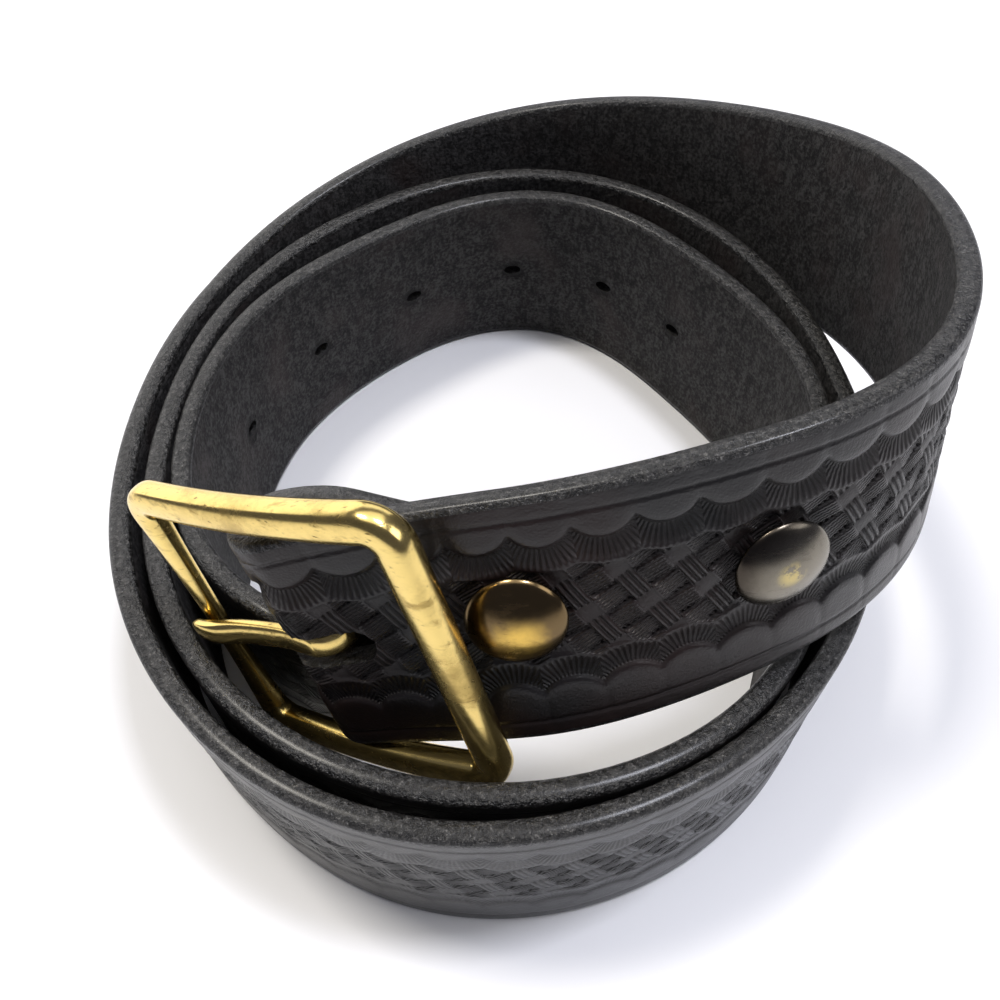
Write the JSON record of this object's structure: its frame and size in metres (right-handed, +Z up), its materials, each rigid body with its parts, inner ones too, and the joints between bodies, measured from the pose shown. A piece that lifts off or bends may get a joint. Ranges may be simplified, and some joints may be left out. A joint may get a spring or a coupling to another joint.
{
  "type": "basketweave leather belt",
  "caption": "Tooled black leather belt standing coiled on its edge, with a centre-bar brass buckle, a hinged tongue and domed snap fasteners.",
  "frame": {"origin": "under the middle of the coil's box, on the surface that the strap's lower edge stands on", "axes": "+Z up, along the strap's width; +Y away from the side where the buckle faces; +X to the right of the buckle"},
  "size_m": [0.1334, 0.1518, 0.0786],
  "materials": {
    "black_leather": "satin, basketweave tooled",
    "polished_brass": "polished, lightly tarnished",
    "antique_brass": "antiqued, satin"
  },
  "bodies": {
    "strap": {"strap": "black_leather", "snap_cap_near": "antique_brass", "snap_back_near": "antique_brass", "snap_cap_far": "antique_brass", "snap_back_far": "antique_brass"},
    "frame": {"buckle_frame": "polished_brass"},
    "tongue": {"buckle_tongue": "polished_brass"}
  },
  "joints": [
    {"name": "frame_swivel", "type": "hinge", "parent": "strap", "child": "frame", "pos_m": [-0.02631, -0.04914, 0.04575], "axis": [-0.2736, 0.2614, 0.9256], "range_deg": [-1.8, 1]},
    {"name": "tongue_hinge", "type": "hinge", "parent": "frame", "child": "tongue", "pos_m": [-0.02631, -0.04914, 0.04575], "axis": [-0.2736, 0.2614, 0.9256], "range_deg": [0, 120]}
  ]
}
